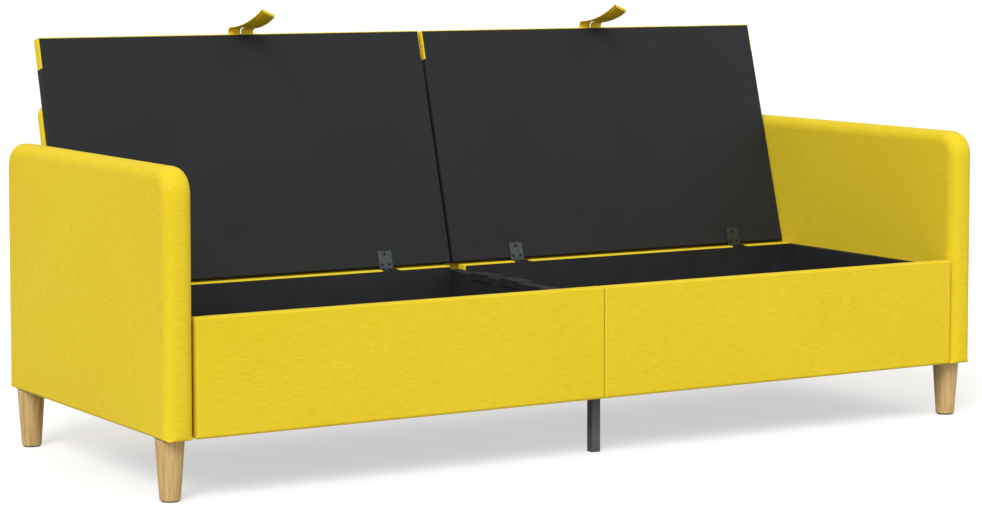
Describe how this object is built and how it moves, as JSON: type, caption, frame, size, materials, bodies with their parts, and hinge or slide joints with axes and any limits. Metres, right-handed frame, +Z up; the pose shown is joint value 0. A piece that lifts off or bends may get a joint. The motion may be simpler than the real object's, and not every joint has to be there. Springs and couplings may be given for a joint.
{
  "type": "storage sofa",
  "caption": "Low-armed fabric sofa whose split seat lids swing up on hinges, with pull straps, over a divided storage box, on tapered wooden legs.",
  "frame": {"origin": "on the floor under the middle of the sofa's length and depth", "axes": "+Z up, +X along the sofa's length, to the right as seen from its front, +Y from the front rail to the backrest"},
  "size_m": [2.128, 0.864, 0.9883],
  "materials": {
    "yellow_fabric": "woven linen-look upholstery fabric with a fine horizontal slub",
    "black_lining_cloth": "matt black non-woven lining cloth",
    "black_lined_board": "board lined with black cloth",
    "foam": "open-cell polyurethane foam, hidden under the lid's cloth",
    "beech_leg": "clear-lacquered light hardwood",
    "frame_timber": "plain sawn softwood and plywood",
    "black_plastic": "fine matt black moulding",
    "dark_painted_steel": "dark grey powder coat",
    "dark_hinge_steel": "dark burnished steel plate",
    "zinc_plated_steel": "dull zinc plate",
    "screw_steel": "bright zinc plate",
    "felt": "pressed felt disc"
  },
  "bodies": {
    "frame": {"arm_boards": "frame_timber", "arm_screws": "screw_steel", "back_rail_left_board": "frame_timber", "back_rail_left_cover": "yellow_fabric", "back_rail_linings": "black_lined_board", "back_rail_right_board": "frame_timber", "back_rail_right_cover": "yellow_fabric", "backrest_bolts": "screw_steel", "backrest_left_cover": "yellow_fabric", "backrest_left_frame": "frame_timber", "backrest_right_cover": "yellow_fabric", "backrest_right_frame": "frame_timber", "centre_bearer": "frame_timber", "corner_brackets": "dark_painted_steel", "divider": "black_lined_board", "divider_brackets": "dark_painted_steel", "floor_battens": "frame_timber", "floor_panels": "black_lined_board", "frame_screws": "screw_steel", "front_left_leg": "beech_leg", "front_rail_boards": "frame_timber", "front_rail_left_cover": "yellow_fabric", "front_rail_linings": "black_lined_board", "front_rail_right_cover": "yellow_fabric", "front_right_leg": "beech_leg", "hinge_pins": "screw_steel", "hinge_rail_leaves": "dark_hinge_steel", "hinge_rail_screws": "screw_steel", "left_arm_cover": "yellow_fabric", "left_arm_frame": "frame_timber", "leg_bolts": "screw_steel", "leg_glides": "felt", "leg_plates": "zinc_plated_steel", "rear_left_leg": "beech_leg", "rear_right_leg": "beech_leg", "rest_blocks": "black_plastic", "right_arm_cover": "yellow_fabric", "right_arm_frame": "frame_timber", "side_boards": "black_lined_board", "support_leg": "dark_painted_steel", "support_leg_cap": "black_plastic", "support_leg_screws": "screw_steel", "wedge_blocks": "frame_timber"},
    "left_lid": {"left_lid_board": "frame_timber", "left_lid_pad": "foam", "left_lid_cover": "black_lining_cloth", "left_lid_front_wrap": "yellow_fabric", "left_pull_strap": "yellow_fabric", "left_hinge_leaves": "dark_hinge_steel", "left_hinge_screws": "screw_steel"},
    "right_lid": {"right_lid_board": "frame_timber", "right_lid_pad": "foam", "right_lid_cover": "black_lining_cloth", "right_lid_front_wrap": "yellow_fabric", "right_pull_strap": "yellow_fabric", "right_hinge_leaves": "dark_hinge_steel", "right_hinge_screws": "screw_steel"}
  },
  "joints": [
    {"name": "left_lid_hinge", "type": "hinge", "parent": "frame", "child": "left_lid", "pos_m": [-0.512, 0.234, 0.369], "axis": [1, 0, 0], "range_deg": [0, 105.85]},
    {"name": "right_lid_hinge", "type": "hinge", "parent": "frame", "child": "right_lid", "pos_m": [0.512, 0.234, 0.369], "axis": [1, 0, 0], "range_deg": [0, 105.85]}
  ]
}
